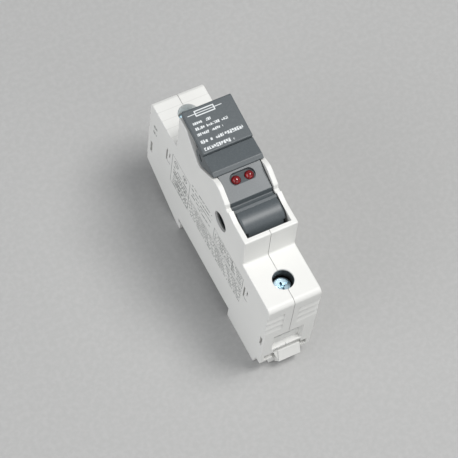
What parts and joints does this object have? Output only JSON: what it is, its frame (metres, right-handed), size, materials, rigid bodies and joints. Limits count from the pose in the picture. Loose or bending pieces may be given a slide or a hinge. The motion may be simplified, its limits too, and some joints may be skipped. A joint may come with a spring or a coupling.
{
  "type": "DIN-rail fuse holder",
  "caption": "Narrow DIN-rail fuse holder with a pivoting carrier, indicator lamps, clamp terminals at both ends and a cartridge fuse link inside.",
  "frame": {"origin": "on the face that seats on the rail, at the middle of the housing's width and length", "axes": "+X across the width, +Y along the length away from the rail latch, +Z out from the rail"},
  "size_m": [0.0178, 0.0814, 0.0616],
  "materials": {
    "housing": "fine matt",
    "carrier": "fine matt",
    "foot": "fine matt",
    "lens": "glossy",
    "board": "lacquered",
    "resistor": "lacquered",
    "steel": "bright",
    "ceramic_tube": "semi-matt",
    "nickel_cap": "nickel plated",
    "copper": "plain",
    "silvered_copper": "silver plated",
    "zinc_screw": "blue zinc",
    "zinc_cage": "zinc plated"
  },
  "bodies": {
    "housing": {"housing_left": "housing", "housing_right": "housing", "housing_dowels": "housing", "contact_near": "silvered_copper", "contact_far": "silvered_copper", "clip_spring_near": "steel", "clip_spring_far": "steel", "foot_spring": "steel"},
    "carrier": {"fuse_carrier": "carrier", "handle_plate": "carrier", "pivot_pin": "steel", "led_left": "lens", "led_right": "lens", "indicator_board": "board", "indicator_resistors": "resistor", "indicator_wire_near": "steel", "indicator_wire_far": "steel", "fuse_tube": "ceramic_tube", "fuse_cap_near": "nickel_cap", "fuse_cap_far": "nickel_cap", "fuse_element": "copper"},
    "rail_latch": {"din_foot": "foot"},
    "screw_near": {"terminal_screw_near": "zinc_screw"},
    "cage_near": {"clamp_cage_near": "zinc_cage"},
    "screw_far": {"terminal_screw_far": "zinc_screw"},
    "cage_far": {"clamp_cage_far": "zinc_cage"}
  },
  "joints": [
    {"name": "carrier_pivot", "type": "hinge", "parent": "housing", "child": "carrier", "pos_m": [0, -0.0136, 0.0444], "axis": [1, 0, 0], "range_deg": [0, 80]},
    {"name": "latch_slide", "type": "slide", "parent": "housing", "child": "rail_latch", "axis": [0, -1, 0], "range_m": [0, 0.004], "stiffness_N_per_m": 700, "springref_m": -0.004, "deforming": ["foot_spring"]},
    {"name": "screw_near_turn", "type": "hinge", "parent": "housing", "child": "screw_near", "pos_m": [0, -0.0316, 0.03], "axis": [0, 0, 1], "range_deg": [-2160, 0]},
    {"name": "cage_near_rise", "type": "slide", "parent": "housing", "child": "cage_near", "axis": [0, 0, 1], "range_m": [0, 0.0048]},
    {"name": "screw_far_turn", "type": "hinge", "parent": "housing", "child": "screw_far", "pos_m": [0, 0.0316, 0.03], "axis": [0, 0, 1], "range_deg": [-2160, 0]},
    {"name": "cage_far_rise", "type": "slide", "parent": "housing", "child": "cage_far", "axis": [0, 0, 1], "range_m": [0, 0.0048]}
  ],
  "couplings": [
    {"joint": "screw_near_turn", "follows": "cage_near_rise", "rad_per_m": -7854},
    {"joint": "screw_far_turn", "follows": "cage_far_rise", "rad_per_m": -7854}
  ]
}
